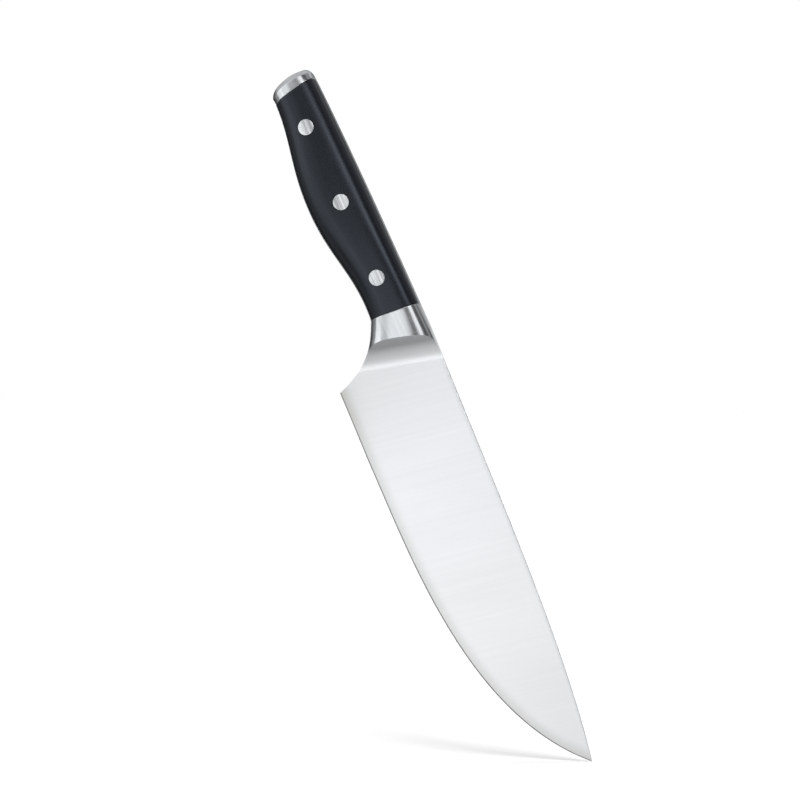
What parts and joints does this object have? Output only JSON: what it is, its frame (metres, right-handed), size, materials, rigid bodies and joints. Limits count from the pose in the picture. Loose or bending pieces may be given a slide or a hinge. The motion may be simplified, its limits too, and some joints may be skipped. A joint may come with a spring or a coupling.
{
  "type": "chef knife",
  "caption": "Full-tang chef knife: ground steel blade with a welded bolster and butt cap, and black plastic scales held by flush rivets.",
  "frame": {"origin": "level with the blade's tip, below the middle of the outline's width and thickness", "axes": "+Z from the tip to the butt, +X towards the spine (-X is the cutting edge), Y through the thickness with the right face towards -Y"},
  "size_m": [0.0504, 0.021, 0.3353],
  "materials": {
    "blade_steel": "fine satin, brushed across the blade",
    "polished_steel": "polished, with faint lengthwise lines",
    "black_plastic": "smooth satin moulded plastic",
    "rivet_steel": "ground flush with the scales"
  },
  "bodies": {
    "root": {"blade": "blade_steel", "bolster": "polished_steel", "butt_cap": "polished_steel", "scale_right": "black_plastic", "scale_left": "black_plastic", "rivet_front_pin": "rivet_steel", "rivet_front_sleeve": "rivet_steel", "rivet_middle_pin": "rivet_steel", "rivet_middle_sleeve": "rivet_steel", "rivet_rear_pin": "rivet_steel", "rivet_rear_sleeve": "rivet_steel"}
  },
  "joints": []
}
